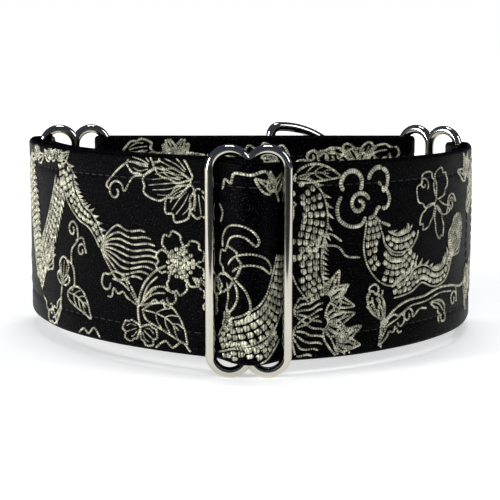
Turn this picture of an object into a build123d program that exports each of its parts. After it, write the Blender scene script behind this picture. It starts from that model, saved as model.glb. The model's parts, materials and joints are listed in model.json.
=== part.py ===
from build123d import *
from dataclasses import dataclass
from math import asin, cos, degrees, radians, sin, tan
import os

os.makedirs("parts", exist_ok=True)

# Martingale collar standing on the wires of its metal frames. X runs to the right, Y away from
# the adjuster at the front, Z up. The origin is on the table, at the middle of the outline.

# Metal frames: two wire loops side by side that share a centre bar
wire = 2.6
frame_height = 57
bar_spacing = 9.3

# Leash ring: a straight bar, two tight corners and a round bow
ring_wire = 2.8
ring_inside = 52
ring_corner = 2.5
ring_lean = 24
ring_place = 6.5
ring_lift = 0.3

# Strap: brocade outside, webbing core, satin lining inside
strap_width = 48.2
brocade = 0.4
webbing = 1.2
lining = 0.4
webbing_inset = 1.0
lining_inset = 1.5
play = 0.4
ply_gap = 0.1

# Plan of the collar: each side leaves the adjuster at its kink and bends to the same end angle
left_kink = 23
left_radius = 90
right_kink = 17.5
right_radius = 78
end_angle = 88
flex_angle = 45
right_connector_angle = 37

# Sewn ends and stitching
adjuster_tail = 16
box_length = 14
box_offset = 7
tail_lean = 16
lead_in = 3
ring_seat = 15
ring_row_spacing = 9
loop_rise = 1
thread = 0.25
row_width = 0.8
row_height = 38
adjuster_rows = (6, 14)

strap_thickness = brocade + webbing + lining
half_strap = strap_thickness / 2
wire_radius = wire / 2
ring_radius = ring_wire / 2
middle_height = frame_height / 2
loop_height = middle_height + loop_rise
wrap = wire_radius + play + half_strap
second_ply = strap_thickness + ply_gap
crossing_wrap = wrap + second_ply
crossing_angle = degrees(asin((wrap + crossing_wrap) / bar_spacing))
low_corner = wire_radius + bar_spacing / 2
high_corner = frame_height - low_corner
ring_half = ring_inside / 2 + ring_radius
ring_middle = middle_height + ring_lift


@dataclass
class Bend:
    """An arc of a strap's middle line. Side is 1 where the brocade is on its outer side, else -1."""

    centre: Vector
    radius: float
    start: float
    sweep: float
    side: int = 1

    def draw(self, offset):
        return CenterArc(self.centre, self.radius + self.side * offset, self.start, self.sweep)

    def cut(self, first, last):
        """The stretch between two lengths from this bend's start."""
        turn = degrees(1 / self.radius) * (1 if self.sweep > 0 else -1)
        return Bend(self.centre, self.radius, self.start + turn * first, turn * (last - first), self.side)

    def length(self):
        return self.radius * radians(abs(self.sweep))


@dataclass
class Run:
    """A straight stretch of a strap's middle line, with the brocade on the right of its direction."""

    start: Vector
    end: Vector

    def draw(self, offset):
        outward = (self.end - self.start).normalized().rotate(Axis.Z, -90) * offset
        return Line(self.start + outward, self.end + outward)


def turned(length, angle):
    """A vector in plan of this length, at this angle from +X."""
    return Vector(length * cos(radians(angle)), length * sin(radians(angle)))


def bend_from(start, inward, end, side):
    """The bend through start and end whose centre lies along this angle from start."""
    chord = end - start
    radius = chord.length**2 / (2 * chord.dot(turned(1, inward)))
    centre = start + turned(radius, inward)
    sweep = (start - centre).get_signed_angle(end - centre, Vector(0, 0, 1))
    return Bend(centre, radius, inward + 180, sweep, side)


def trace(course, offset):
    """Draw a course at an offset towards the brocade, and return where it starts and ends."""
    first = None
    for piece in course:
        edge = piece.draw(offset)
        if first is None:
            first = edge @ 0
            last = first
        if (last - edge @ 0).length > 1e-4:
            Line(last, edge @ 0)
        last = edge @ 1
    return first, last


def lay(course, near, far, height, middle=middle_height):
    """A layer of a strap in the current part, between two offsets from its middle line."""
    with BuildSketch(Plane.XY.offset(middle - height / 2)) as outline:
        with BuildLine():
            near_first, near_last = trace(course, near)
            far_first, far_last = trace(course, far)
            Line(near_first, far_first)
            Line(near_last, far_last)
        make_face()
    extrude(outline.sketch, amount=height)


def save(part, name):
    part.label = name
    export_step(part, f"parts/{name}.step")


def strap(name, course, middle=middle_height):
    """The brocade, webbing and lining of one stretch of strap, each its own part."""
    layers = (
        ("lining", -half_strap, -half_strap + lining, strap_width - 2 * lining_inset),
        ("webbing", -half_strap + lining, half_strap - brocade, strap_width - 2 * webbing_inset),
        ("brocade", half_strap - brocade, half_strap, strap_width),
    )
    for layer, near, far, width in layers:
        with BuildPart() as cloth:
            lay(course, near, far, width, middle)
        save(cloth.part, f"{name}_{layer}")


def double_frame(name, centre, angle):
    """A frame bent from wire, with two round humps at each end, and the bar between its humps."""
    face = Plane(centre, x_dir=turned(1, angle), z_dir=turned(1, angle - 90))
    middle = Plane(centre, x_dir=turned(1, angle - 90), z_dir=turned(1, angle))
    with BuildPart() as frame:
        with BuildLine(face) as half:
            CenterArc((bar_spacing / 2, high_corner), bar_spacing / 2, 180, -180)
            Line((bar_spacing, high_corner), (bar_spacing, low_corner))
            CenterArc((bar_spacing / 2, low_corner), bar_spacing / 2, 0, -180)
        with BuildSketch(Plane(half.line @ 0, z_dir=half.line % 0)):
            Circle(wire_radius)
        sweep(path=half.line)
        split(bisect_by=middle, keep=Keep.TOP)
        mirror(about=middle)
    save(frame.part, f"{name}_frame")
    with BuildPart() as bar:
        with BuildSketch(Plane(centre).offset(low_corner)):
            Circle(wire_radius)
        extrude(amount=high_corner - low_corner)
    save(bar.part, f"{name}_centre_bar")


# Plan points, measured from the adjuster's centre until the outline's middle is known
connector_span = 2 * bar_spacing
left_exit = 270 - left_kink
right_exit = right_kink - 90
left_bar = Vector(-bar_spacing, 0)
right_bar = Vector(bar_spacing, 0)
left_centre = left_bar + turned(wrap, left_exit - 180) - turned(left_radius, left_exit)
right_centre = right_bar + turned(wrap, right_exit + 180) - turned(right_radius, right_exit)
left_pivot = left_centre + turned(left_radius - wrap, 270 - end_angle)
right_pivot = right_centre + turned(right_radius - wrap, end_angle - 90)
right_connector = right_pivot + turned(bar_spacing, 180 - right_connector_angle)
right_inner = right_pivot + turned(connector_span, 180 - right_connector_angle)
left_connector_angle = degrees(asin((right_inner.Y - left_pivot.Y) / connector_span))
left_connector = left_pivot + turned(bar_spacing, left_connector_angle)
left_inner = left_pivot + turned(connector_span, left_connector_angle)

front_reach = crossing_wrap + half_strap
back_reach = right_inner.Y + (ring_corner + ring_half) * sin(radians(ring_lean)) + ring_radius
adjuster = Vector(-(left_pivot.X + right_pivot.X) / 2, (front_reach - back_reach) / 2)
left_bar += adjuster
right_bar += adjuster
left_centre += adjuster
right_centre += adjuster
left_pivot += adjuster
right_pivot += adjuster
left_connector += adjuster
right_connector += adjuster
left_inner += adjuster
right_inner += adjuster

# Adjuster and connectors
double_frame("adjuster", adjuster, 0)
double_frame("left_connector", left_connector, left_connector_angle)
double_frame("right_connector", right_connector, -right_connector_angle)

# Leash ring on the control loop
ring_bar = Vector(ring_place, left_inner.Y)
ring_plane = Plane(
    ring_bar + Vector(0, 0, ring_middle), x_dir=turned(1, ring_lean), z_dir=turned(1, ring_lean - 90)
)
corner_start = ring_half - ring_corner
with BuildPart() as leash_ring:
    with BuildLine(ring_plane) as d_shape:
        Line((0, -corner_start), (0, corner_start))
        CenterArc((ring_corner, corner_start), ring_corner, 180, -90)
        CenterArc((ring_corner, 0), ring_half, 90, -180)
        CenterArc((ring_corner, -corner_start), ring_corner, 270, -90)
    with BuildSketch(Plane(d_shape.line @ 0, z_dir=d_shape.line % 0)):
        Circle(ring_radius)
    sweep(path=d_shape.line)
save(leash_ring.part, "leash_ring")

# Main strap, from the adjuster outwards on each side
left_side = Bend(left_centre, left_radius, left_exit, left_kink - end_angle)
right_side = Bend(right_centre, right_radius, right_exit, end_angle - right_kink)
left_flex = left_radius * radians(flex_angle - left_kink)
right_flex = right_radius * radians(flex_angle - right_kink)

over_bar = crossing_angle - left_kink
slide_pass = [
    left_side.cut(lead_in, 0),
    Bend(left_bar, wrap, 90 - left_kink, -over_bar, -1),
    Bend(adjuster, crossing_wrap, 270 - crossing_angle, 2 * crossing_angle),
    Bend(right_bar, wrap, 90 + crossing_angle, right_kink - crossing_angle, -1),
    right_side.cut(0, lead_in),
]
strap("slide_pass", slide_pass)
strap("left_front_outer", [left_side.cut(lead_in, left_flex)])
strap("right_front", [right_side.cut(lead_in, right_flex)])

# Left side: the strap turns round the connector's outer bar and comes back inside to the adjuster
inner_start = left_pivot + turned(wrap, 90 - end_angle)
inner_end = left_bar + turned(wrap + 2 * second_ply, 90 - left_kink)
left_inside = bend_from(inner_start, 90 - end_angle, inner_end, -1)
inner_flex = left_inside.radius * radians(end_angle - flex_angle)
left_return = [
    left_side.cut(left_flex, left_side.length()),
    Bend(left_pivot, wrap, 270 - end_angle, -180),
    left_inside.cut(0, inner_flex),
]
strap("left_return", left_return)
strap("left_front_inner", [left_inside.cut(inner_flex, left_inside.length() - lead_in)])

tail_radius = left_radius - second_ply
adjuster_end = [
    left_inside.cut(left_inside.length() - lead_in, left_inside.length()),
    Bend(adjuster, wrap, 90 - left_kink, left_kink - 180 - crossing_angle),
    Bend(left_bar, crossing_wrap, 90 - crossing_angle, over_bar, -1),
    Bend(left_centre, tail_radius, left_exit, -degrees(adjuster_tail / tail_radius)),
]
strap("adjuster_end", adjuster_end)

# Right side: the end turns round the connector's outer bar and is sewn down inside
tail_drop = wrap * (1 + cos(radians(tail_lean))) - second_ply
tail_run = wrap * sin(radians(tail_lean)) + tail_drop / tan(radians(tail_lean))
right_tail_radius = right_radius - second_ply
right_tail_start = end_angle - 90 - degrees(tail_run / right_radius)
right_end = [
    right_side.cut(right_flex, right_side.length()),
    Bend(right_pivot, wrap, end_angle - 90, 180 + tail_lean),
    Bend(right_centre, right_tail_radius, right_tail_start, -degrees(box_length / right_tail_radius), -1),
]
strap("right_end", right_end)

# Control loop: a flat loop through both connectors, with the leash ring in its outer ply
out = Vector(0, wrap)
lead = Vector(lead_in, 0)
seat_left = ring_bar - Vector(ring_seat / 2, 0)
seat_right = ring_bar + Vector(ring_seat / 2, 0)
left_fold = [
    Run(left_inner + lead + out, left_inner + out),
    Bend(left_inner, wrap, 90, 180),
    Run(left_inner - out, left_inner - out + lead),
]
right_fold = [
    Run(right_inner - lead - out, right_inner - out),
    Bend(right_inner, wrap, 270, 180),
    Run(right_inner + out, right_inner + out - lead),
]
strap("loop_left_fold", left_fold, loop_height)
strap("loop_inner", [Run(left_inner + lead - out, right_inner - lead - out)], loop_height)
strap("loop_right_fold", right_fold, loop_height)
strap("loop_outer_right", [Run(right_inner - lead + out, seat_right + out)], loop_height)
strap("ring_seat", [Run(seat_right + out, seat_left + out)], loop_height)
strap("loop_outer_left", [Run(seat_left + out, left_inner + lead + out)], loop_height)

# Stitching that stands on the cloth
face = half_strap
with BuildPart() as ring_stitching:
    for side in (-1, 1):
        row = ring_bar + out + Vector(side * ring_row_spacing / 2, 0)
        half_row = Vector(row_width / 2, 0)
        lay([Run(row + half_row, row - half_row)], face, face + thread, row_height, loop_height)
save(ring_stitching.part, "ring_stitching")

with BuildPart() as adjuster_stitching:
    for place in adjuster_rows:
        near = left_inside.length() - lead_in - place
        lay([left_inside.cut(near - row_width, near)], face, face + thread, row_height)
save(adjuster_stitching.part, "adjuster_stitching")

box_near = right_side.length() - box_offset - box_length
box_far = right_side.length() - box_offset
with BuildPart() as right_end_stitching:
    for place in (box_near, box_far):
        lay([right_side.cut(place - row_width, place)], face, face + thread, row_height)
    for height in (middle_height - row_height / 2, middle_height + row_height / 2):
        lay([right_side.cut(box_near - row_width, box_far)], face, face + thread, row_width, height)
save(right_end_stitching.part, "right_end_stitching")
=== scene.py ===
import json
from math import asin, ceil, cos, degrees, pi, radians, sin

import bpy
import numpy as np
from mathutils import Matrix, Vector


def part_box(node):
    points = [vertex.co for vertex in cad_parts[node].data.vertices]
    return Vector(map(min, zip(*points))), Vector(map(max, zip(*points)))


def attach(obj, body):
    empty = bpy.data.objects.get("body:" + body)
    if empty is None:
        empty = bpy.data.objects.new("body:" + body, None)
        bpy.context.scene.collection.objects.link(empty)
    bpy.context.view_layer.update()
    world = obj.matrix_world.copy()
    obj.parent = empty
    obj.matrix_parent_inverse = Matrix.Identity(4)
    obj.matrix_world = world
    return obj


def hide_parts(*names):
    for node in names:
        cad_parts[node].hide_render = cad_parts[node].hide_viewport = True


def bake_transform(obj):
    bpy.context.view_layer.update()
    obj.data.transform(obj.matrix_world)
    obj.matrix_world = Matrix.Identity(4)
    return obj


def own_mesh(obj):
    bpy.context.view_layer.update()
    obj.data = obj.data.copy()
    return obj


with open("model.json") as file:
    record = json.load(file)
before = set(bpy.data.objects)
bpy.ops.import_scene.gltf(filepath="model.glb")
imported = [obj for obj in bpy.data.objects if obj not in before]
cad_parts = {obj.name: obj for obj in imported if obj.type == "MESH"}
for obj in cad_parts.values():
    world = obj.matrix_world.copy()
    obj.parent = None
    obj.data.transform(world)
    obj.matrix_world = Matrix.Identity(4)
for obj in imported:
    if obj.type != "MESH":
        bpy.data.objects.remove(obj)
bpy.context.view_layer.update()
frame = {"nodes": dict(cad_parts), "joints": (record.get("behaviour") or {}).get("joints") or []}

# Sizes of the collar, in millimetres
MM = 0.001
bar_spacing = 9.3
wrap = 2.7
second_ply = 2.1
crossing_wrap = wrap + second_ply
left_kink = 23
left_radius = 90
right_kink = 17.5
right_radius = 78
end_angle = 88
right_connector_angle = 37
adjuster_tail = 16
adjuster_rows = (6, 14)
box_length = 14
box_offset = 7
tail_lean = 16
lead_in = 3
ring_seat = 15
ring_row_spacing = 9
strap_width = 49
lining_width = 45.2
row_height = 38
middle_height = 28.5
loop_rise = 1
side_rise = 0.6
cloth_face = 1.0
cover_edge = 1.1
cover_thickness = 1.6
lining_edge = 0.5
lining_thickness = 0.3
stitch_row = 18.6
stitch_pitch = 2.8
stitch_length = 2.1
cross_stitch_pitch = 2.6
thread_step = 0.8
flex_reach = 10


def turned(length, angle):
    return length * np.array([cos(radians(angle)), sin(radians(angle))])


def place_of(joint_name):
    spot = next(j for j in frame["joints"] if j["name"] == joint_name)["pos_m"]
    return np.array(spot[:2]) / MM


low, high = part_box("adjuster_centre_bar")
adjuster = np.array([low.x + high.x, low.y + high.y]) / 2 / MM
left_pivot = place_of("left_connector_swing")
right_pivot = place_of("right_connector_swing")
left_inner = place_of("left_fold_turn")
ring_bar = place_of("leash_ring_swing")
right_inner = right_pivot + turned(2 * bar_spacing, 180 - right_connector_angle)

left_exit = 270 - left_kink
right_exit = right_kink - 90
crossing_angle = degrees(asin((wrap + crossing_wrap) / bar_spacing))
left_bar = adjuster - np.array([bar_spacing, 0])
right_bar = adjuster + np.array([bar_spacing, 0])
left_centre = left_bar + turned(wrap, left_exit - 180) - turned(left_radius, left_exit)
right_centre = right_bar + turned(wrap, right_exit + 180) - turned(right_radius, right_exit)


class Bend:
    """An arc of the strap's middle line. Side is 1 where the brocade is outside it, else -1."""

    def __init__(self, centre, radius, start, sweep, side=1):
        self.centre, self.radius, self.side = centre, radius, side
        self.start, self.sweep = start, sweep

    def length(self):
        return self.radius * radians(abs(self.sweep))

    def cut(self, first, last):
        turn = degrees(1 / self.radius) * (1 if self.sweep > 0 else -1)
        return Bend(self.centre, self.radius, self.start + turn * first, turn * (last - first), self.side)

    def back(self):
        return Bend(self.centre, self.radius, self.start + self.sweep, -self.sweep, self.side)

    def walk(self):
        steps = max(2, ceil(max(self.length() / thread_step, abs(self.sweep) / 7)))
        angles = np.radians(self.start + self.sweep * np.linspace(0, 1, steps + 1))
        spokes = np.stack([np.cos(angles), np.sin(angles)], 1)
        return self.centre + self.radius * spokes, self.side * spokes


class Run:
    """A straight of the strap's middle line, with the brocade on the right of its direction."""

    def __init__(self, start, end):
        self.start, self.end = start, end

    def walk(self):
        gap = np.linalg.norm(self.end - self.start)
        along = np.linspace(0, 1, max(2, ceil(gap / thread_step)) + 1)[:, None]
        ahead = (self.end - self.start) / gap
        facing = np.array([ahead[1], -ahead[0]])
        return self.start + along * (self.end - self.start), np.repeat(facing[None], len(along), 0)


class Course:
    """A strap as it runs through the frames, measured along its middle line."""

    def __init__(self, bends, rise, breadth=1.0):
        self.rise, self.breadth = rise, breadth
        spots, faces, self.marks = [], [], {}
        for name, bend in bends:
            walked, facing = bend.walk()
            if spots:
                gap = np.linalg.norm(walked[0] - spots[-1])
                if gap > 0.05:
                    joining, level = Run(spots[-1], walked[0]).walk()
                    spots.extend(joining[1:-1])
                    faces.extend(level[1:-1])
                else:
                    walked, facing = walked[1:], facing[1:]
            if name:
                self.marks[name] = max(len(spots) - 1, 0)
            spots.extend(walked)
            faces.extend(facing)
        self.spots, self.faces = np.array(spots), np.array(faces)
        steps = np.linalg.norm(np.diff(self.spots, axis=0), axis=1)
        self.along = np.concatenate([[0], np.cumsum(steps)])

    def start_from(self, mark):
        self.along = self.along - self.along[self.marks[mark]]

    def at(self, mark):
        return self.along[self.marks[mark]]

    def place(self, along, height, lift):
        """Points in metres: along the strap, up its width, and out from its middle line."""
        along, height, lift = np.broadcast_arrays(along, height, lift)
        spot = np.stack([np.interp(along, self.along, self.spots[:, k]) for k in (0, 1)], -1)
        face = np.stack([np.interp(along, self.along, self.faces[:, k]) for k in (0, 1)], -1)
        face = face / np.linalg.norm(face, axis=-1, keepdims=True)
        plan = spot + face * lift[..., None]
        level = middle_height + self.rise(along) + height * self.breadth
        return np.concatenate([plan, level[..., None]], -1) * MM


def bend_from(start, inward, end, side):
    chord = end - start
    radius = chord @ chord / (2 * chord @ turned(1, inward))
    centre = start + turned(radius, inward)
    first, last = (degrees(np.arctan2(*(p - centre)[::-1])) % 360 for p in (start, end))
    return Bend(centre, radius, first, last - first, side)


left_side = Bend(left_centre, left_radius, left_exit, left_kink - end_angle)
right_side = Bend(right_centre, right_radius, right_exit, end_angle - right_kink)
inner_start = left_pivot + turned(wrap, 90 - end_angle)
inner_end = left_bar + turned(wrap + 2 * second_ply, 90 - left_kink)
left_inside = bend_from(inner_start, 90 - end_angle, inner_end, -1)
over_bar = crossing_angle - left_kink
left_tail_radius = left_radius - second_ply
tail_drop = wrap * (1 + cos(radians(tail_lean))) - second_ply
tail_run = wrap * sin(radians(tail_lean)) + tail_drop / np.tan(radians(tail_lean))
right_tail_radius = right_radius - second_ply
right_tail_start = end_angle - 90 - degrees(tail_run / right_radius)

left_tail = Bend(left_centre, left_tail_radius, left_exit, -degrees(adjuster_tail / left_tail_radius))
right_tail = Bend(right_centre, right_tail_radius, right_tail_start, -degrees(box_length / right_tail_radius), -1)
round_bar = Bend(adjuster, wrap, 90 - left_kink, left_kink - 180 - crossing_angle).back()

flex_left = left_radius * radians(45 - left_kink)
flex_right = right_radius * radians(45 - right_kink)
inner_flex = left_inside.radius * radians(end_angle - 45)
inner_length = left_inside.length()
side_length = left_side.length()

collar = Course([
    ("adjuster_end", left_tail.back()),
    (None, Bend(left_bar, crossing_wrap, 90 - crossing_angle, over_bar, -1).back()),
    ("buried", round_bar.cut(0, 7)),
    (None, round_bar.cut(7, round_bar.length())),
    (None, left_inside.cut(inner_length - lead_in, inner_length).back()),
    ("inner", left_inside.cut(inner_flex + flex_reach, inner_length - lead_in).back()),
    ("return", left_inside.cut(0, inner_flex + flex_reach).back()),
    (None, Bend(left_pivot, wrap, 270 - end_angle, -180).back()),
    (None, left_side.cut(flex_left - flex_reach, side_length).back()),
    ("outer", left_side.cut(lead_in, flex_left - flex_reach).back()),
    ("pass", left_side.cut(lead_in, 0)),
    (None, Bend(left_bar, wrap, 90 - left_kink, -over_bar, -1)),
    (None, Bend(adjuster, crossing_wrap, 270 - crossing_angle, crossing_angle)),
    ("middle", Bend(adjuster, crossing_wrap, 270, crossing_angle)),
    (None, Bend(right_bar, wrap, 90 + crossing_angle, right_kink - crossing_angle, -1)),
    (None, right_side.cut(0, lead_in)),
    ("right", right_side.cut(lead_in, flex_right - flex_reach)),
    ("end", right_side.cut(flex_right - flex_reach, right_side.length())),
    (None, Bend(right_pivot, wrap, end_angle - 90, 180 + tail_lean)),
    (None, right_tail),
], lambda along: -side_rise * np.tanh(along / 14))
collar.start_from("middle")

out = np.array([0, wrap])
ahead = np.array([lead_in, 0])
seat_left = ring_bar - np.array([ring_seat / 2, 0])
seat_right = ring_bar + np.array([ring_seat / 2, 0])
loop = Course([
    ("left_fold", Run(left_inner + ahead + out, left_inner + out)),
    (None, Bend(left_inner, wrap, 90, 180)),
    (None, Run(left_inner - out, left_inner - out + ahead)),
    ("inner", Run(left_inner + ahead - out, right_inner - ahead - out)),
    ("right_fold", Run(right_inner - ahead - out, right_inner - out)),
    (None, Bend(right_inner, wrap, 270, 180)),
    (None, Run(right_inner + out, right_inner + out - ahead)),
    ("outer_right", Run(right_inner - ahead + out, seat_right + out)),
    ("seat", Run(seat_right + out, seat_left + out)),
    ("outer_left", Run(seat_left + out, left_inner + ahead + out)),
], lambda along: loop_rise, breadth=0.98)
loop.start_from("inner")


# Materials
class Wire:
    """A shader socket that takes part in sums. Each operator adds one Math node."""

    def __init__(self, tree, socket):
        self.tree, self.socket = tree, socket

    def node(self, kind, settings=(), output=0, **inputs):
        made = self.tree.nodes.new(kind)
        for key, value in dict(settings).items():
            if key == "stops":
                ramp = made.color_ramp
                while len(ramp.elements) < len(value):
                    ramp.elements.new(0.5)
                for stop, (spot, shade) in zip(ramp.elements, value):
                    stop.position, stop.color = spot, (*shade, 1)
            else:
                setattr(made, key, value)
        for key, value in inputs.items():
            by_number = key[0] == "i" and key[1:].isdigit()
            slot = made.inputs[int(key[1:]) if by_number else key.replace("_", " ")]
            if isinstance(value, Wire):
                self.tree.links.new(value.socket, slot)
            else:
                slot.default_value = value
        return Wire(self.tree, made.outputs[output])

    def math(self, operation, *values):
        return self.node("ShaderNodeMath", {"operation": operation}, **{f"i{k}": v for k, v in enumerate(values)})

    def __add__(self, other): return self.math("ADD", self, other)
    def __radd__(self, other): return self.math("ADD", other, self)
    def __sub__(self, other): return self.math("SUBTRACT", self, other)
    def __rsub__(self, other): return self.math("SUBTRACT", other, self)
    def __mul__(self, other): return self.math("MULTIPLY", self, other)
    def __rmul__(self, other): return self.math("MULTIPLY", other, self)

    def wave(self, pitch):
        """A cosine wave from 0 to 1 of this pitch."""
        return self.math("COSINE", self * (2 * pi / pitch)) * 0.5 + 0.5

    def between(self, first, last):
        settings = {"interpolation_type": "SMOOTHSTEP"}
        return self.node("ShaderNodeMapRange", settings, Value=self, From_Min=first, From_Max=last)

    def noise(self, scale, detail=2.0):
        return self.node("ShaderNodeTexNoise", Vector=self, Scale=scale, Detail=detail)

    def split(self):
        parts = self.node("ShaderNodeSeparateXYZ", Vector=self)
        return [Wire(self.tree, parts.socket.node.outputs[k]) for k in range(3)]

    def tint(self, first, last):
        """The first colour where this is 0, the last where it is 1."""
        return self.node("ShaderNodeMix", {"data_type": "RGBA"}, output=2, i0=self, i6=(*first, 1), i7=(*last, 1))


def finish_of(name, paint):
    """A material. Paint gets its object coordinates and cloth map, and returns what goes on the shader."""
    material = bpy.data.materials.new(name)
    material.use_nodes = True
    tree = material.node_tree
    shader = tree.nodes["Principled BSDF"]
    start = Wire(tree, None)
    spots = start.node("ShaderNodeTexCoord")
    spots = Wire(tree, spots.socket.node.outputs["Object"])
    weave = start.node("ShaderNodeUVMap", {"uv_map": "cloth"})
    for socket, value in paint(spots, weave).items():
        if socket == "bump":
            relief, depth = value
            bump = start.node("ShaderNodeBump", Height=relief, Distance=depth, Strength=1.0)
            tree.links.new(bump.socket, shader.inputs["Normal"])
        elif isinstance(value, Wire):
            tree.links.new(value.socket, shader.inputs[socket])
        else:
            shader.inputs[socket].default_value = value
    return material


def nickel(spots, weave):
    smears = spots.noise(160, 3)
    return {
        "Base Color": smears.tint((0.52, 0.495, 0.425), (0.66, 0.635, 0.555)),
        "Metallic": 1.0,
        "Roughness": smears * 0.06 + 0.06,
    }


def satin(spots, weave):
    along, up, _ = weave.split()
    floats = along.wave(0.34) * 0.5 + up.wave(0.5) * 0.5
    grain = weave.noise(2.4, 3)
    painted_glint_specks = weave.noise(3.2, 1).between(0.64, 0.78)
    return {
        # Base colour lighter in small specks: painted glints of the satin's sheen. The same specks are also smoother
        # and raised.
        "Base Color": painted_glint_specks.tint((0.0004, 0.0004, 0.0006), (0.08, 0.076, 0.1)),
        "Roughness": 0.34 - painted_glint_specks * 0.14,
        "Specular IOR Level": 0.014,
        "bump": (floats * 0.25 + grain * 0.9 + painted_glint_specks * 0.7, 0.00016),
    }


def lining_satin(spots, weave):
    along, up, _ = weave.split()
    ribs = (along + up).wave(0.6)
    grain = weave.noise(1.6, 3)
    return {
        "Base Color": (ribs * 0.4 + grain * 0.5).tint((0.0008, 0.0008, 0.0012), (0.006, 0.006, 0.0075)),
        "Roughness": 0.5 + grain * 0.2,
        "Specular IOR Level": 0.035,
        "bump": (ribs * 0.5 + grain * 0.7, 0.0001),
    }


def gold_thread(spots, weave):
    along, up, _ = weave.split()
    turns = along.wave(0.66)
    # Random patches lighter and darker: painted highlights on the gold thread, with painted shade between them. They
    # are also raised a little.
    painted_glint_patches = spots.noise(600, 3).between(0.38, 0.66)
    # The colour is lighter on each turn of the thread and darker between turns: painted highlight and painted shade.
    shade = turns * 0.45 + painted_glint_patches * 0.55
    return {
        "Base Color": shade.tint((0.06, 0.059, 0.04), (0.97, 0.95, 0.72)),
        "Roughness": 0.42 - turns * 0.14,
        "Metallic": 0.7,
        "bump": (turns + painted_glint_patches * 0.5, 0.00022),
    }


def sewing_thread(spots, weave):
    along, up, _ = weave.split()
    turns = (along + up * 0.6).wave(0.3)
    return {
        # Lighter on each turn of the thread and darker between turns: painted highlight and painted shade.
        "Base Color": turns.tint((0.003, 0.003, 0.0035), (0.014, 0.014, 0.016)),
        "Roughness": 0.55 - turns * 0.15,
        "Specular IOR Level": 0.25,
        "bump": (turns, 0.00006),
    }


metal = finish_of("polished_nickel", nickel)
ground_cloth = finish_of("black_satin_ground", satin)
lining_cloth = finish_of("black_lining_satin", lining_satin)
gold = finish_of("pale_gold_thread", gold_thread)
black_thread = finish_of("black_sewing_thread", sewing_thread)


# Cloth
def wander(along, height):
    """The slow unevenness of a sewn strap, in millimetres."""
    return 0.07 * np.sin(along / 7.3 + height / 9.1) + 0.05 * np.sin(along / 3.9 - height / 5.3 + 1.7)


def brocade_lift(along, height):
    edge = np.clip((np.abs(height) - (strap_width / 2 - cover_edge)) / cover_edge, 0, 1)
    sunk = np.exp(-((np.abs(height) - stitch_row) / 0.75) ** 2) * (0.75 + 0.25 * np.cos(2 * pi * along / stitch_pitch))
    return cloth_face - 0.12 + wander(along, height) - 0.3 * sunk - 0.85 * (1 - np.sqrt(1 - edge**2 * 0.99))


def lining_lift(along, height):
    edge = np.clip((np.abs(height) - (lining_width / 2 - lining_edge)) / lining_edge, 0, 1)
    sunk = np.exp(-((np.abs(height) - stitch_row) / 0.6) ** 2) * (0.75 + 0.25 * np.cos(2 * pi * along / stitch_pitch))
    return -(cloth_face - 0.04 - 0.12 * sunk - 0.2 * edge**2)


def rows_for(width, edge):
    half = width / 2
    inner = np.arange(-20.0, 20.01, 1.0)
    rows = np.concatenate([inner, [s * (stitch_row + d) for s in (-1, 1) for d in (-0.6, 0, 0.6)]])
    rim = half - edge * (1 - np.sin(np.linspace(0, pi / 2, 6)))
    return np.unique(np.round(np.concatenate([rows[np.abs(rows) < half - edge], rim, -rim, [0]]), 3))


def ribbon(name, course, first, last, rows, lift, thickness, material):
    """A strip of cloth laid on a course between two stations, with its own thickness."""
    stations = course.along[first:last + 1]
    bpy.ops.object.select_all(action="DESELECT")
    bpy.ops.mesh.primitive_grid_add(x_subdivisions=len(stations) - 1, y_subdivisions=len(rows) - 1, size=2)
    strip = bpy.context.active_object
    strip.name = strip.data.name = name
    flat = np.zeros(len(strip.data.vertices) * 3)
    strip.data.vertices.foreach_get("co", flat)
    flat = (flat.reshape(-1, 3) + 1) / 2
    along = stations[np.rint(flat[:, 0] * (len(stations) - 1)).astype(int)]
    up = rows[np.rint(flat[:, 1] * (len(rows) - 1)).astype(int)]
    strip.data.vertices.foreach_set("co", course.place(along, up, lift(along, up)).ravel())
    map_cloth(strip.data, along, up)
    if lift is lining_lift:
        strip.data.flip_normals()
    solid = strip.modifiers.new("thickness", "SOLIDIFY")
    solid.thickness = thickness * MM
    solid.offset = -1
    bpy.ops.object.modifier_apply(modifier="thickness")
    bpy.ops.object.shade_smooth_by_angle(angle=radians(50))
    strip.data.materials.clear()
    strip.data.materials.append(material)
    return strip


def map_cloth(mesh, along, up):
    """Give a mesh its cloth map, in millimetres along and up."""
    while mesh.uv_layers:
        mesh.uv_layers.remove(mesh.uv_layers[0])
    layer = mesh.uv_layers.new(name="cloth")
    corner = np.zeros(len(mesh.loops), int)
    mesh.loops.foreach_get("vertex_index", corner)
    layer.data.foreach_set("uv", np.stack([along[corner], up[corner]], 1).ravel())


def woven(name, points, faces, along, up, material):
    mesh = bpy.data.meshes.new(name)
    mesh.from_pydata(points, [], faces)
    map_cloth(mesh, along, up)
    mesh.materials.append(material)
    mesh.shade_smooth()
    made = bpy.data.objects.new(name, mesh)
    bpy.context.scene.collection.objects.link(made)
    return made


# The woven figure
def curve(points, closed=False, step=0.42):
    """A smooth line through these points."""
    p = np.array(points, float)
    ring = np.vstack([p[-1:], p, p[:2]]) if closed else np.vstack([2 * p[:1] - p[1:2], p, 2 * p[-1:] - p[-2:-1]])
    line = []
    for a, b, c, d in zip(ring, ring[1:], ring[2:], ring[3:]):
        t = np.linspace(0, 1, max(2, ceil(np.linalg.norm(c - b) / step)), endpoint=False)[:, None]
        square, cube = (2 * a - 5 * b + 4 * c - d) * t**2, (3 * b - a - 3 * c + d) * t**3
        line.append(0.5 * (2 * b + (c - a) * t + square + cube))
    return np.vstack([*line, ring[-2][None]])


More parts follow.
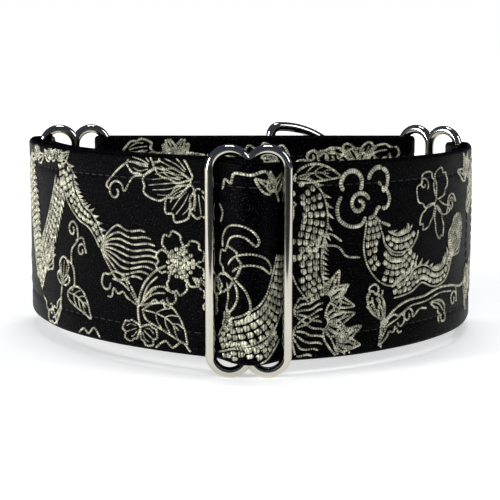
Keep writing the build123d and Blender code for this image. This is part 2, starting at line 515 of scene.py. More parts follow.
class Figure:
    """Thread lines and filled pads, drawn flat in millimetres."""

    def __init__(self):
        self.lines, self.pads = [], []

    def line(self, points, width=0.72, closed=False):
        self.lines.append((curve(points, closed), width))
        return self

    def pad(self, points):
        self.pads.append(np.array(points, float))
        return self

    def add(self, other, at=(0, 0), turn=0, size=1.0, flip=False, weight=1.0):
        c, s = cos(radians(turn)), sin(radians(turn))
        def moved(p):
            p = p * (size, -size if flip else size)
            return p @ np.array([[c, s], [-s, c]]) + np.array(at)
        self.lines += [(moved(p), w * weight) for p, w in other.lines]
        self.pads += [moved(p) for p in other.pads]
        return self


def scroll(radius, turns=1.2, tail=(), width=0.72):
    """A curl that winds in to its middle, from an optional tail."""
    angles = np.linspace(0, 2 * pi * turns, int(10 * turns) + 3)
    size = radius * (1 - 0.78 * np.linspace(0, 1, len(angles)) ** 0.8)
    spiral = np.stack([size * np.cos(angles), size * np.sin(angles)], 1) - (radius, 0)
    return Figure().line([*tail, *spiral], width)


def petal(length, width, notch=0.0, veins=0):
    shape = Figure()
    half = [(0, 0), (0.16, 0.3), (0.32, 0.48), (0.5, 0.46), (0.66, 0.54), (0.84, 0.42), (0.97, 0.22)]
    upper = [(x * length, y * width) for x, y in half]
    lower = [(x * length, -y * width) for x, y in reversed(half[1:])]
    shape.line([*upper, (length * (1 - notch), 0), *lower], closed=True)
    for k in range(veins + 2 if veins else 0):
        y = (k - (veins + 1) / 2) * width * 0.84 / (veins + 2)
        reach = 0.86 - 0.5 * abs(y) / width
        shape.line([(length * 0.2, y * 0.5), (length * 0.46, y * 1.1), (length * reach, y)], 0.34)
    return shape


def leaf(length, width, sway=0.15, veins=3):
    shape = Figure()
    def mid(t): return np.array([t * length, sway * length * sin(pi * t)])
    def side(t, k): return mid(t) + (0, k * width / 2 * sin(pi * t**0.75) ** 0.8)
    ts = (0, 0.12, 0.3, 0.5, 0.7, 0.88, 1)
    shape.line([side(t, 1) for t in ts])
    shape.line([side(t, -1) for t in ts])
    shape.line([mid(t) for t in (0, 0.25, 0.5, 0.75)], 0.55)
    for k in range(veins):
        t = 0.25 + 0.18 * k
        for hand in (-1, 1):
            halfway = (mid(t) + side(t + 0.14, hand)) / 2 + (0.2, 0)
            shape.line([mid(t), halfway, side(t + 0.2, hand) * 0.9 + mid(t + 0.2) * 0.1], 0.42)
    return shape


def scale_pad(at, angle, length=1.75, width=1.7):
    outline = [(-0.5, -0.42), (-0.5, 0.42), (-0.1, 0.5), (0.28, 0.4), (0.48, 0.0), (0.28, -0.4), (-0.1, -0.5)]
    c, s = cos(angle), sin(angle)
    return np.array([(x * length * c - y * width * s, x * length * s + y * width * c) for x, y in outline]) + at


def scaled_body(spine, widths, spikes=1, pitch=1.85):
    """A ribbon of overlapping scales between two thread lines, with raked spikes on one side."""
    shape = Figure()
    middle = curve(spine)
    steps = np.concatenate([[0], np.cumsum(np.linalg.norm(np.diff(middle, axis=0), axis=1))])
    def at(d):
        p = np.array([np.interp(d, steps, middle[:, k]) for k in (0, 1)])
        q = np.array([np.interp(min(d + 0.4, steps[-1]), steps, middle[:, k]) for k in (0, 1)])
        b = np.array([np.interp(max(d - 0.4, 0), steps, middle[:, k]) for k in (0, 1)])
        heading = (q - b) / np.linalg.norm(q - b)
        width = np.interp(d / steps[-1], np.linspace(0, 1, len(widths)), widths)
        return p, heading, np.array([-heading[1], heading[0]]), width
    edges = [[], []]
    for d in np.linspace(0, steps[-1], max(6, int(steps[-1] / 1.6))):
        p, heading, side, width = at(d)
        for k, hand in enumerate((-1, 1)):
            edges[k].append(p + side * hand * width / 2)
    for edge in edges:
        shape.line(edge, 0.6)
    row = 0
    d = pitch * 0.5
    while d < steps[-1] - 0.3:
        p, heading, side, width = at(d)
        room = width - 1.0
        count = max(1, int(round(room / pitch + (row % 2) * 0.5)))
        offsets = (np.arange(count) - (count - 1) / 2) * min(pitch, room / max(count, 1))
        for o in offsets:
            facing = np.arctan2(heading[1], heading[0])
            shape.pad(scale_pad(p + side * o, facing, pitch * 0.93, min(pitch, room / count) * 0.9))
        if spikes:
            base = p + side * spikes * (width / 2 + 0.15)
            tip = base + side * spikes * 1.7 + heading * 1.5
            shape.pad([base - heading * 0.75, base + heading * 0.75, tip])
        d += pitch * 0.94
        row += 1
    return shape


def plume(strands, length, spread, sway=1.1, width=0.72):
    """Wavy strands that fan out from one point."""
    shape = Figure()
    for k in range(strands):
        t = (k / (strands - 1)) * 2 - 1
        reach = length * (1 - 0.22 * t * t)
        points = [(0, 0.25 * t)]
        for f in np.arange(1, 11) / 10:
            fan = spread * t * min(1, 2.4 * f) ** 0.7 * (1 - 0.25 * f)
            points.append((reach * f, fan + sway * sin(2.8 * pi * f - 0.5 * t) * (0.25 + 0.5 * f)))
        shape.line(points, width)
    return shape


def blossom(radius, petals=5, seeds=True, notch=0.12):
    shape = Figure()
    for k in range(petals):
        turn = 360 / petals * k + 8 * (k % 2)
        one = petal(radius * (0.9 + 0.14 * (k % 2)), radius * 0.86, notch)
        shape.add(one, at=turned(radius * 0.26, turn), turn=turn)
    if seeds:
        for ring, count in ((0, 1), (1.25, 6), (2.45, 11), (3.6, 15)):
            if ring < radius * 0.6:
                for k in range(count):
                    shape.pad(scale_pad(turned(ring, 360 / count * k), radians(360 / count * k), 1.2, 1.2))
    return shape


def lobed_leaf():
    """A leaf with a wavy lobed edge and a curled tip."""
    shape = Figure()
    shape.line([(0, 0), (2.2, 2.6), (5.2, 4.9), (8.6, 5.2), (10.2, 4.0),
                (11.9, 3.6), (12.3, 1.6), (11.0, 0.4), (9.6, 0.9), (9.4, 2.2)])
    shape.line([(0, 0), (3.4, 0.6), (5.2, 1.6), (6.6, 0.7), (8.2, 1.4), (8.4, -0.5), (9.8, -1.0)])
    shape.line([(0, 0), (3.0, 2.2), (6.0, 3.4), (9.0, 3.4)], 0.6)
    shape.line([(3.6, 2.6), (4.6, 4.0), (6.2, 4.7)], 0.45)
    return shape


def finger(length, width, bend):
    """A curling leaf lobe, drawn as an outline that is open at its root."""
    spot, upper, lower = np.zeros(2), [], []
    for t in np.linspace(0, 1, 7):
        ahead, side = turned(1, bend * t), turned(1, bend * t + 90)
        half = width / 2 * (0.5 + 0.55 * sin(pi * min(1, 0.2 + 0.8 * t) * 0.9))
        upper.append(spot + side * half)
        lower.append(spot - side * half)
        spot = spot + ahead * length / 6
    tip = spot - ahead * length / 6 + ahead * width * 0.42
    return Figure().line([*upper, tip, *reversed(lower)], 0.66)


def cloud():
    """A knot of thick curled lobes."""
    shape = Figure()
    shape.line([turned(2.9, a) + (-3.4, 4.6) for a in range(215, -60, -25)], 1.5)
    shape.line([turned(3.0, a) + (4.4, 5.0) for a in range(175, -95, -25)], 1.5)
    shape.add(scroll(3.1, 1.25, width=1.35), at=(1.6, 0.6), turn=20)
    shape.line([(-6.4, 1.6), (-7.4, -1.2), (-6.6, -4.0), (-3.8, -5.6), (-0.8, -5.4), (0.6, -3.6)], 1.3)
    shape.line([(7.0, 2.6), (8.0, 0.2), (6.8, -1.8), (4.4, -1.6), (3.2, -3.4), (1.4, -4.0)], 1.3)
    shape.line([(4.4, 4.6), (5.8, 3.2), (5.2, 1.6)], 1.2)
    shape.line([(3.2, -3.6), (5.6, -5.2), (8.4, -6.2)], 1.0)
    return shape


def flame(length, width, lean=0.3):
    """A tapering tongue, woven as two outlines that meet at its tip and a thread line along its middle."""
    shape = Figure()
    upper = [(0, 0.1), (0.3, 0.5), (0.72, 0.34 + lean * 0.4), (1.0, lean)]
    lower = [(0, -0.1), (0.34, -0.46), (0.76, -0.16 + lean * 0.5), (1.0, lean)]
    for side in (upper, lower):
        shape.line([(x * length, y * width) for x, y in side], 0.75)
    shape.line([(x * length, y * width) for x, y in ((0.16, 0.02), (0.45, 0.04), (0.8, lean * 0.7))], 0.6)
    return shape


def tuft(count, length, width, fan):
    shape = Figure()
    for k in range(count):
        turn = fan * (k / (count - 1) - 0.5)
        shape.add(flame(length * (0.82 + 0.18 * cos(k * 2.4)), width), at=turned(1.4, turn), turn=turn, flip=k % 2 == 0)
    return shape


def spray():
    """Leaves that spring from one stem."""
    shape = Figure()
    shape.add(lobed_leaf(), turn=8)
    shape.add(lobed_leaf(), turn=172, flip=True)
    shape.add(petal(8, 3.4, veins=1), turn=62)
    shape.add(petal(8, 3.4, veins=1), turn=118)
    shape.line([(0, -4.5), (0.3, -2), (0, 0)], 0.8)
    shape.add(scroll(1.6, 1.1), at=(2.4, -3.4), turn=-60)
    return shape


def repeat_figure(figure, start, end, seed):
    """Fill a length of strap with the same sprays, blooms, knots and scaled ribbons."""
    chance = np.random.default_rng(seed)
    spot, turnabout = start + 8, seed
    while spot < end - 6:
        upper, lower = (12, -12) if turnabout % 2 else (-12, 12)
        tilt = chance.uniform(-14, 14)
        kind = turnabout % 4
        if kind == 0:
            figure.add(spray(), at=(spot, upper - 3), turn=tilt, size=1.05)
            figure.add(blossom(6), at=(spot + 1, lower), turn=tilt)
            figure.add(scroll(2.4, 1.2, [(6, 3), (3, 2.6)]), at=(spot - 6, lower + 6))
        elif kind == 1:
            body = scaled_body([(-9, -4), (-3, 1.5), (2, 3), (7, -1), (11, -2)], [3, 7, 8, 6, 3])
            figure.add(body, at=(spot - 2, upper), turn=tilt)
            figure.add(plume(8, 10, 4.5), at=(spot + 8.5, upper - 2.4), turn=tilt - 10)
            figure.add(lobed_leaf(), at=(spot - 7, lower - 3), turn=tilt + 8, size=1.15)
            figure.add(petal(9, 4.6, 0.1, 2), at=(spot - 6, lower - 3), turn=tilt + 62)
            figure.add(petal(8, 4.2, 0.1, 2), at=(spot - 7, lower - 3), turn=tilt + 112)
        elif kind == 2:
            figure.add(cloud(), at=(spot - 2, upper), turn=tilt, size=1.15)
            figure.add(leaf(15, 6.4), at=(spot - 8, lower + 2), turn=tilt - 12)
            figure.add(leaf(12, 5.4), at=(spot - 7, lower + 1), turn=tilt + 34)
            figure.add(scroll(2.6, 1.2, [(7, 3), (3, 2.6)]), at=(spot + 7, lower - 6))
        else:
            figure.add(blossom(6.6), at=(spot, upper), turn=tilt)
            figure.add(spray(), at=(spot + 1, lower - 2), turn=tilt * 0.5, size=1.1)
        spot += chance.uniform(12.5, 14.5)
        turnabout += 1
    return figure


front = Figure()
# Left of the adjuster: upper bloom, leaves and a curl
front.add(petal(14.5, 7.5, 0.06, 3), at=(-17.5, 18.6), turn=187)
front.add(petal(10.5, 7.2, 0.14, 2), at=(-17, 17.5), turn=232)
front.add(petal(7.5, 5.4, 0.1, 1), at=(-15.5, 17), turn=278)
front.add(petal(12, 6.5, 0.16, 3), at=(-17, 19.5), turn=158)
front.add(petal(9, 6, 0.1, 2), at=(-28, 21.5), turn=166)
front.add(scroll(3.3, 1.15, [(6.5, 3.6), (3.0, 3.2)]), at=(-37.5, 15.2), turn=6)
front.line([(-30, 22), (-36, 22.5), (-41, 19.5), (-44, 16.5), (-42.6, 15.2)])
# Scaled ribbon with its plume
front.add(scaled_body(
    [(-66.4, 17.6), (-62.5, 18), (-59.5, 12.5), (-55.5, 8.6), (-51, 6.6), (-48, 3.8), (-46, 0.6)],
    [6.4, 6.2, 5, 3.8, 2.6]))
front.add(scaled_body([(-66, 16), (-69, 9), (-73, 2), (-79, -5.5), (-84, -14)], [5.4, 6, 6.6, 6, 4]))
front.add(tuft(4, 5, 2.8, 80), at=(-72, 19.5), turn=95)
front.add(plume(9, 19.5, 7.6), at=(-46.6, 0.2), turn=-5)
front.add(tuft(3, 5.5, 3, 60), at=(-66, 19.5), turn=75)
front.add(plume(5, 10, 2.6), at=(-76, -9.5), turn=52)
front.add(scaled_body([(-95, 20.5), (-91, 11), (-88, 2), (-85.6, -6), (-84, -12)], [9, 10.5, 10, 8, 5]))
front.add(tuft(5, 6, 3, 100), at=(-84, 19), turn=80)
# Bud on a curling stem
front.line([(-66.4, -16), (-65.8, -13), (-65, -11)])
front.add(petal(7, 4.8, 0.0, 1), at=(-65, -11.4), turn=82)
front.add(petal(4, 2.4), at=(-65, -11.6), turn=30)
front.add(petal(4, 2.4), at=(-65, -11.6), turn=140)
front.line([(-62.6, -5), (-59.5, -6.5), (-58.6, -10.5), (-60, -13)])
front.add(scroll(2.5, 1.2, [(-6, -8.6), (-4.6, -5), (-0.8, -3.2)]), at=(-57.2, 4.2), turn=18)
front.add(scroll(2.3, 1.15, [(-5.4, 1.8), (-2.2, 3.4)]), at=(-53.0, -2.2), turn=-12)
front.add(leaf(12.5, 5.6), at=(-62.5, -13.6), turn=-27)
front.add(lobed_leaf(), at=(-66, -15.5), turn=206, size=0.95)
front.line([(-80, -17), (-76, -20.5), (-72, -20), (-69, -23.4)])
front.line([(-57, -23.6), (-54.5, -22.2), (-52.5, -23.2), (-50, -21.4), (-47.5, -23.6)])
# Peony and leaf spray by the adjuster
front.add(blossom(6.3, 5, notch=0.16), at=(-20.4, -1.6), turn=36)
front.add(lobed_leaf(), at=(-17, -5), turn=-62, size=0.85)
front.add(petal(7.5, 4, 0.1, 1), at=(-14.8, -4.6), turn=-18)
front.add(lobed_leaf(), at=(-33, -13.6), turn=168, size=1.16, flip=True)
front.add(lobed_leaf(), at=(-32.6, -13.4), turn=6, size=0.9)
front.line([(-33, -19), (-33.4, -13.6), (-31.6, -8.2), (-28, -4.4), (-24.6, -2.6)], 0.85)
front.line([(-32.2, -13.2), (-30.4, -8.6), (-27, -5.4)], 0.6)
front.add(leaf(15.5, 6.8), at=(-32, -14.4), turn=-29)
front.add(petal(6, 5, 0.15, 1), at=(-33, -19), turn=200)
front.add(petal(5.6, 5, 0.15, 1), at=(-32.6, -19), turn=-35)
front.line([(-28, -23.6), (-25, -21.6), (-22.8, -23), (-20, -21.4), (-17.6, -23.6)])
# In the adjuster's window
front.add(finger(11.5, 2.6, -165), at=(-6.4, 3.6), turn=84)
front.add(finger(11, 2.6, -115), at=(-4.4, -1.2), turn=48)
front.add(petal(8, 6.2, 0.12), at=(-3.0, -3.4), turn=118)
front.add(petal(6.4, 4.2, 0.12), at=(-3.6, -4.0), turn=196)
front.line([(-3.0, -3.6), (-0.6, -6.4), (0.4, -10.2), (-0.6, -13.4)], 0.66)
front.add(finger(7, 2.6, -70), at=(-4.6, -4.4), turn=-64)
front.add(scaled_body(
    [(-8.4, -20.4), (-4, -17.4), (1, -15.6), (5.6, -11.8), (8.4, -5), (9.6, 2)],
    [4, 7.5, 8.5, 7.5, 5.5, 3], spikes=0))
front.add(scaled_body([(-9, -24), (-3, -23), (3, -21), (8.6, -17)], [3, 5, 5, 4], spikes=0))
front.add(plume(4, 6, 1.8, 0.4), at=(-6.2, -17), turn=74)
front.add(tuft(4, 6.2, 3.0, 70), at=(6.6, 16), turn=96)
front.line([(-7.4, 17.6), (-6.2, 20), (-4, 19.4), (-3, 21.8), (0.6, 21.6), (3.8, 22.4), (6.8, 19.2), (9, 15)], 0.9)
front.line([(-8.6, 14), (-7.2, 12), (-8.2, 9.6)])
# Right of the adjuster: broad scaled ribbon, tongues and whiskers
front.add(scaled_body([(13, 18), (17, 16.4), (18.4, 11), (17, 4), (17.6, -3), (20.6, -9.6)], [5, 8.6, 9.6, 9, 7.4, 5]))
front.add(leaf(13, 4.4, 0.1), at=(13.6, 20.4), turn=1)
front.line([(14, 0.2), (19, 4.8), (23.4, 6.6), (27, 4.6)])
front.line([(15.4, -0.8), (20, 3.4), (25.6, 3.4), (28.4, 0.8), (32.4, 0.2)])
front.add(tuft(5, 7.4, 3.0, 84), at=(22.4, -9.8), turn=34)
front.add(tuft(6, 8.8, 3.4, 104), at=(21.6, -15.4), turn=-6)
front.add(tuft(5, 8.4, 3.2, 76), at=(24.4, -20.4), turn=-4)
front.add(plume(6, 9, 5.6, 0.5), at=(13.4, -17.4), turn=-18)
front.add(plume(5, 8, 3.6, 0.5), at=(14.0, -12.6), turn=14)
# Cloud knot
front.add(cloud(), at=(33.4, 14.0), size=1.05)
# Coiled scaled ribbon, its tail and plume
front.add(scaled_body(
    [(36.2, 9.4), (36.6, 5.6), (37.6, 0.6), (41.6, -3.6), (47.4, -3.6), (51.2, 0.4)],
    [3.6, 6.4, 7.6, 8, 7, 4.4], spikes=0))
front.add(scaled_body([(40.8, 4.8), (44.6, 2.6), (49.6, 3.4), (51.6, 6.2)], [3, 4.4, 4.6, 3], spikes=1))
front.add(scaled_body(
    [(43.5, -9.8), (49, -8.2), (55, -6.2), (61, -8.2), (66.4, -7.2), (70.6, -2.4)],
    [3, 5.2, 4.6, 4.2, 3.8, 2.4]))
front.add(plume(9, 13, 5.4, 0.5), at=(70.2, -3), turn=48)
# Bloom at the far right
front.add(petal(9.8, 8.6, 0.14), at=(61, 12.2), turn=142, weight=0.75)
front.add(scroll(2.2, 1.1, width=0.5), at=(57.0, 15.6), turn=-40)
front.add(petal(8.4, 7.2, 0.12), at=(61.6, 12.8), turn=62, weight=0.75)
front.add(scroll(3.2, 1.25, [(-6.4, -2.4), (-3.2, 1.4)], 0.56), at=(73.6, 11), turn=4)
front.add(petal(8.6, 4.4, 0.16), at=(60.4, 11.6), turn=222, weight=0.75)
front.add(petal(9.4, 4.2, 0.1), at=(61.6, 11), turn=-72, weight=0.75)
front.add(finger(7, 2.6, 60), at=(62.6, 11.4), turn=-40, weight=0.8)
front.add(tuft(6, 8, 3.2, 100), at=(84, 15.5), turn=100)
# Vine along the lower edge
front.line([(39, -18.6), (43.6, -14.6), (49, -12.6), (56, -12.2), (63, -11), (71, -11.4), (79, -12.6), (86, -11)], 0.85)
front.line([(44.8, -17), (50, -14.2), (57, -13.6), (64, -12.4), (71.4, -13)], 0.6)
front.add(lobed_leaf(), at=(41, -17), turn=104, size=0.86)
front.add(lobed_leaf(), at=(40, -18), turn=128, size=0.8, flip=True)
front.add(lobed_leaf(), at=(38.6, -23), turn=24, size=0.9)
front.line([(39.6, -18.4), (39, -21), (39.6, -24)], 0.85)
front.add(scroll(2.4, 1.2, [(5.4, 2.6), (2.2, 2.2)]), at=(51.6, -17), turn=-12)
front.add(scroll(2.8, 1.2, [(-5.4, 3.4), (-2, 3.4)]), at=(75.6, -16.4), turn=-20)
front.add(lobed_leaf(), at=(59, -14.4), turn=-44, size=0.8)
front.add(leaf(9, 4.4), at=(83, -12), turn=-70)

collar_end = collar.along[-1]
bare_end = collar.at("buried") + 6
repeat_figure(front, 88, collar_end - 2, 5)
repeat_figure(front, bare_end + 2, -100, 2)

back = Figure()
back.add(petal(9, 5.6, 0.1, 2), at=(2, 20), turn=8)
back.add(petal(8, 5.4, 0.1, 1), at=(2.5, 15), turn=-16)
back.add(tuft(6, 7.4, 2.6, 150), at=(17.4, 17.4), turn=90)
back.add(tuft(5, 6.4, 2.4, 110), at=(15.4, 13.6), turn=250)
back.line([(37, 19), (39, 21.8), (41.6, 20.6), (43.6, 22.6), (46.6, 21), (49, 21.8), (51, 18.6)])
back.add(blossom(4, 5), at=(44, 15.6))
back.add(spray(), at=(71.5, 15.4), turn=4)
back.add(scroll(2.2, 1.2, [(5, 2.4), (2, 2)]), at=(59.6, 18.4))
repeat_figure(back, -2, loop.at("right_fold") + 4, 3)
back.lines = [(p, w * 1.2) for p, w in back.lines if p[:, 1].min() > 4 or p[:, 1].max() < 10]
repeat_figure(back, loop.at("right_fold") + 6, loop.along[-1] + loop.at("left_fold") + 4, 6)


def clipped(figure, first, last):
    """The part of a figure that lies on the cloth between two lengths."""
    lines, pads = [], []
    limit = strap_width / 2 - 0.5
    for points, width in figure.lines:
        inside = (points[:, 0] >= first) & (points[:, 0] <= last) & (np.abs(points[:, 1]) < limit)
        edges = np.flatnonzero(np.diff(np.concatenate([[0], inside.astype(int), [0]])))
        for a, b in zip(edges[::2], edges[1::2]):
            if b - a > 2:
                lines.append((points[a:b], width))
    for points in figure.pads:
        if first < points[:, 0].min() and points[:, 0].max() < last and np.abs(points[:, 1]).max() < limit:
            pads.append(points)
    return lines, pads


def tubes(lines, course, lift, sink, rise, side=1):
    """Closed flat-topped threads laid on the cloth, as arrays of points, faces and cloth map."""
    points, faces, along_map, up_map = [], [], [], []
    base = 0
    for path, width in lines:
        count = len(path)
        heading = np.gradient(path, axis=0)
        heading /= np.linalg.norm(heading, axis=1, keepdims=True) + 1e-9
        across = np.stack([-heading[:, 1], heading[:, 0]], 1) * side
        run = np.concatenate([[0], np.cumsum(np.linalg.norm(np.diff(path, axis=0), axis=1))])
        swell = np.ones(count)
        swell[[0, -1]] = 0.55
        for k, (reach, height) in enumerate(((0.5, -sink), (0.27, rise), (-0.27, rise), (-0.5, -sink))):
            spot = path + across * (reach * width * swell)[:, None]
            rounding = np.where(swell < 1, 0.6, 1) * (0.7 if height > 0 else 1)
            level = lift(spot[:, 0], spot[:, 1]) + side * height * rounding
            points.append(course.place(spot[:, 0], spot[:, 1], level))
            along_map.append(run)
            up_map.append(np.full(count, reach * width))
        ring = base + np.arange(count)
        for k in range(4):
            here, there = ring + k * count, ring + (k + 1) % 4 * count
            faces.extend(zip(here[:-1].tolist(), there[:-1].tolist(), there[1:].tolist(), here[1:].tolist()))
        faces.append(tuple(base + k * count for k in (3, 2, 1, 0)))
        faces.append(tuple(base + k * count + count - 1 for k in (0, 1, 2, 3)))
        base += 4 * count
    return np.concatenate(points), faces, np.concatenate(along_map), np.concatenate(up_map)


def raised(pads, course, lift, base):
    """Filled patches of weave, domed from the cloth."""
    points, faces, along_map, up_map = [], [], [], []
    for outline in pads:
        x, y = outline.T
        if np.dot(x, np.roll(y, -1)) < np.dot(y, np.roll(x, -1)):
            outline = outline[::-1]
        count = len(outline)
        top = outline.mean(0) + (outline - outline.mean(0)) * 0.84
        for spot, height in ((outline, -0.12), (top, 0.2)):
            points.append(course.place(spot[:, 0], spot[:, 1], lift(spot[:, 0], spot[:, 1]) + height))
            along_map.append(spot[:, 0])
            up_map.append(spot[:, 1])
        low, high = [base + k for k in range(count)], [base + count + k for k in range(count)]
        faces.append(tuple(reversed(low)))
        faces.append(tuple(high))
        faces.extend((low[k], low[(k + 1) % count], high[(k + 1) % count], high[k]) for k in range(count))
        base += 2 * count
    return points, faces, along_map, up_map


def embroider(name, course, figure, first, last):
    lines, pads = clipped(figure, first, last)
    if not lines:
        return None
    points, faces, along, up = tubes(lines, course, brocade_lift, 0.12, 0.3)
    more, more_faces, more_along, more_up = raised(pads, course, brocade_lift, len(points))
    points, along, up = (np.concatenate(t) for t in ([points, *more], [along, *more_along], [up, *more_up]))
    return woven(name, points, faces + more_faces, along, up, gold)


def stitch(start, heading, width):
    """One stitch on the cloth, as a line and its width."""
    reach = np.linspace(0, stitch_length, 5)[:, None]
    return np.array(start) + reach * heading, width


def edge_stitches(name, course, first, last):
    """Two rows of lockstitch, on the brocade and on the lining."""
    count = int((last - stitch_length) / stitch_pitch) + 1
    starts = np.arange(ceil(first / stitch_pitch), count) * stitch_pitch
    rows = [stitch((start, row), (1, 0), 0.4) for start in starts for row in (-stitch_row, stitch_row)]
    on_brocade = tubes(rows, course, brocade_lift, 0.1, 0.16)
    on_lining = tubes(rows, course, lining_lift, 0.08, 0.1, side=-1)
    first_point = len(on_brocade[0])
    faces = on_brocade[1] + [tuple(v + first_point for v in face) for face in on_lining[1]]
    points, along, up = (np.concatenate([on_brocade[k], on_lining[k]]) for k in (0, 2, 3))
    return woven(name, points, faces, along, up, black_thread)


def point_on(spot):
    return (*(np.array(spot) * MM), middle_height * MM)


def station(bend, length):
    return bend.cut(length, length + 1).walk()[0][0]


def easing(body, next_body, side, first, last):
    """Two bodies and the lengths of a side between which the cloth passes from one to the other."""
    return body, next_body, point_on(station(side, first)), point_on(station(side, last))


near_left = easing("adjuster", "front_strap", left_side, lead_in + 3, flex_left - flex_reach - 2)
far_left = easing("front_strap", "left_side", left_side, flex_left - flex_reach + 2, flex_left + flex_reach)
near_right = easing("adjuster", "front_strap", right_side, lead_in + 2, flex_right - flex_reach - 2)
far_right = easing("front_strap", "right_side", right_side, flex_right - flex_reach + 2, flex_right + flex_reach)
loop_out_left = ("loop_left", "ring_carrier", point_on(left_inner + ahead + out), point_on(seat_left + out))
loop_out_right = ("ring_carrier", "loop_right", point_on(seat_right + out), point_on(right_inner - ahead + out))

drawn = {j["name"]: j for j in frame["joints"]}
pull, give_back = drawn["loop_pull"], drawn["loop_return"]
shift = (pull["axis"][0] * pull["range_m"][1] + give_back["axis"][0] * give_back["range_m"][1]) / MM
inner_run = np.linalg.norm(right_inner - left_inner) - 2 * lead_in
keep_share = (inner_run + shift - 0.12) / inner_run


def moves(piece, motion):
    if len(motion) == 4:
        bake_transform(piece)
    else:
        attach(piece, motion[0])
        if len(motion) == 2:
            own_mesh(piece)


cover_rows = rows_for(strap_width, cover_edge)
lining_rows = rows_for(lining_width, lining_edge)


def stretch(name, course, first_mark, last_mark, figure, motion, cad, drawn_from=None):
    """One stretch of strap: its cover, lining, woven figure and edge stitches."""
    first = course.marks[first_mark]
    last = course.marks[last_mark] if last_mark else len(course.along) - 1
    start, end = course.along[first], course.along[last]
    cover = ribbon(f"{name}_cover", course, first, last, cover_rows, brocade_lift, cover_thickness, ground_cloth)
    inside = ribbon(f"{name}_satin", course, first, last, lining_rows, lining_lift, lining_thickness, lining_cloth)
    gold_work = embroider(f"{name}_figure", course, figure, max(start, drawn_from or start), end)
    seams = edge_stitches(f"{name}_seams", course, start, end)
    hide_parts(f"{cad}_brocade", f"{cad}_webbing")
    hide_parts(f"{cad}_lining")
    for piece, slot in ((cover, "brocade"), (inside, "satin_lining"), (gold_work, "brocade"), (seams, "thread")):
        if piece:
            moves(piece, motion)


stretch("adjuster_end", collar, "adjuster_end", "inner", front, ("adjuster",), "adjuster_end", bare_end)
stretch("left_inner", collar, "inner", "return", front, near_left, "left_front_inner")
stretch("left_turn", collar, "return", "outer", front, far_left, "left_return")
stretch("left_outer", collar, "outer", "pass", front, near_left, "left_front_outer")
stretch("slide_pass", collar, "pass", "right", front, ("adjuster",), "slide_pass")
stretch("right_outer", collar, "right", "end", front, near_right, "right_front")
stretch("right_turn", collar, "end", None, front, far_right, "right_end")
stretch("loop_left_turn", loop, "left_fold", "inner", back, ("loop_left",), "loop_left_fold")
stretch("loop_inner", loop, "inner", "right_fold", back, ("loop_left", point_on(left_inner + ahead)), "loop_inner")
stretch("loop_right_turn", loop, "right_fold", "outer_right", back, ("loop_right",), "loop_right_fold")
stretch("loop_back_right", loop, "outer_right", "seat", back, loop_out_right, "loop_outer_right")
stretch("ring_seat", loop, "seat", "outer_left", back, ("ring_carrier",), "ring_seat")
stretch("loop_back_left", loop, "outer_left", None, back, loop_out_left, "loop_outer_left")


def cross_rows(name, course, stations, motion, cad, sides=()):
    """Rows of stitches across the strap, with optional rows along it that close a box."""
    rows = []
    for along in stations:
        for height in np.arange(-row_height / 2, row_height / 2 - 2, cross_stitch_pitch):
            rows.append(stitch((along, height), (0, 1), 0.45))
    for height in sides:
        for along in np.arange(stations[0], stations[1] - 2, cross_stitch_pitch):
            rows.append(stitch((along, height), (1, 0), 0.45))
    piece = woven(name, *tubes(rows, course, brocade_lift, 0.1, 0.24), black_thread)
    moves(piece, motion)
    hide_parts(cad)


ring_middle = loop.at("seat") + ring_seat / 2
ring_rows = [ring_middle + k * ring_row_spacing / 2 for k in (-1, 1)]
cross_rows("ring_stitches", loop, ring_rows, ("ring_carrier",), "ring_stitching")
end_rows = [collar.at("inner") + row for row in adjuster_rows]
cross_rows("adjuster_stitches", collar, end_rows, near_left, "adjuster_stitching")
side_end = collar.at("end") + right_side.length() - (flex_right - flex_reach)
box_rows = [side_end - box_offset - box_length, side_end - box_offset]
box_sides = (-row_height / 2, row_height / 2)
cross_rows("right_end_stitches", collar, box_rows, far_right, "right_end_stitching", box_sides)

for node in frame["nodes"].values():
    if not node.hide_render:
        node.data.materials.clear()
        node.data.materials.append(metal)


# Floor, light and camera
def white_card(spots, weave):
    speckle = spots.noise(30, 2)
    x, y, _ = spots.split()
    painted_glow_away_from_collar = (x * x + y * y).between(0.02, 0.9)
    return {
        "Base Color": speckle.tint((0.86, 0.86, 0.86), (0.88, 0.88, 0.88)),
        "Roughness": 0.8,
        "Specular IOR Level": 0.1,
        # The table glows: painted light. The glow is dimmer near the collar as a painted shade round it, and full white
        # further out.
        "Emission Color": painted_glow_away_from_collar.tint((0.38, 0.38, 0.38), (1, 1, 1)),
        "Emission Strength": 1.0,
    }


# Colour of the dark flag, a sheet seen only in glossy rays: a painted dark reflection in the metal.
def dark_card(spots, weave):
    speckle = spots.noise(30, 2)
    return {"Base Color": speckle.tint((0.012, 0.013, 0.016), (0.018, 0.019, 0.022)), "Roughness": 0.8}


def card(name, corner, far_corner, height, material):
    """A flat panel on or over the table."""
    bpy.ops.object.select_all(action="DESELECT")
    bpy.ops.mesh.primitive_grid_add(x_subdivisions=1, y_subdivisions=1, size=2)
    panel = bpy.context.active_object
    panel.name = name
    for vertex in panel.data.vertices:
        x = (corner if vertex.co.x < 0 else far_corner)[0]
        y = (corner if vertex.co.y < 0 else far_corner)[1]
        vertex.co = (x, y, height)
    panel.data.materials.append(material)
    return panel


card("table", (-9, -9), (9, 9), 0, finish_of("white_table", white_card))
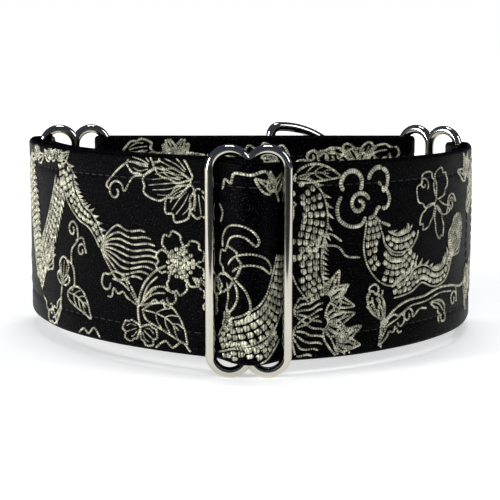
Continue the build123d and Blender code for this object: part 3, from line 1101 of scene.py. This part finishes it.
# A dark sheet just over the table that only reflections see: a painted dark reflection in the metal, in place of the
# white table.
flag = card("dark_flag", (-3, -3), (3, -0.2), 0.0005, finish_of("dark_flag", dark_card))
flag.visible_camera = flag.visible_diffuse = flag.visible_shadow = False


def softbox(name, spot, aim, size, power, mirrored=True):
    lamp = bpy.data.lights.new(name, "AREA")
    lamp.shape, lamp.size, lamp.size_y = "RECTANGLE", *size
    lamp.energy = power
    made = bpy.data.objects.new(name, lamp)
    bpy.context.scene.collection.objects.link(made)
    made.location = spot
    made.rotation_euler = (Vector(aim) - Vector(spot)).to_track_quat("-Z", "Y").to_euler()
    made.visible_glossy = mirrored


softbox("key_softbox", (-0.85, -0.45, 0.22), (0, 0, 0.03), (0.2, 0.4), 9.0)
softbox("front_softbox", (0.1, -0.8, 0.75), (0, 0, 0.03), (0.7, 0.25), 3.0, mirrored=False)
softbox("fill_softbox", (0.8, -0.3, 0.5), (0, 0, 0.03), (0.25, 0.5), 2.2)
softbox("back_softbox", (0.2, 0.9, 0.7), (0, 0, 0.03), (0.6, 0.3), 3.0, mirrored=False)
softbox("top_softbox", (0, 0.1, 1.3), (0, 0, 0), (0.5, 0.12), 4.0)

world = bpy.data.worlds.new("studio")
bpy.context.scene.world = world
world.use_nodes = True
sky = Wire(world.node_tree, None)
seen = sky.node("ShaderNodeLightPath")
room = world.node_tree.nodes["Background"]
world.node_tree.links.new(seen.tint((0.05, 0.06, 0.085), (1, 1, 1)).socket, room.inputs["Color"])
room.inputs["Strength"].default_value = 1.0

camera = bpy.data.objects.new("camera", bpy.data.cameras.new("camera"))
bpy.context.scene.collection.objects.link(camera)
camera_offset, camera_distance, camera_height, camera_dip = 0.31, 358.7, 82, 0.14
camera.location = ((adjuster[0] + camera_offset) * MM, (adjuster[1] - camera_distance) * MM, camera_height * MM)
camera.rotation_euler = (pi / 2 - camera_dip, 0, 0)
camera.data.lens = 108
camera.data.sensor_width = 36
camera.data.clip_start = 0.01
bpy.context.scene.camera = camera
bpy.context.scene.view_settings.view_transform = "Standard"
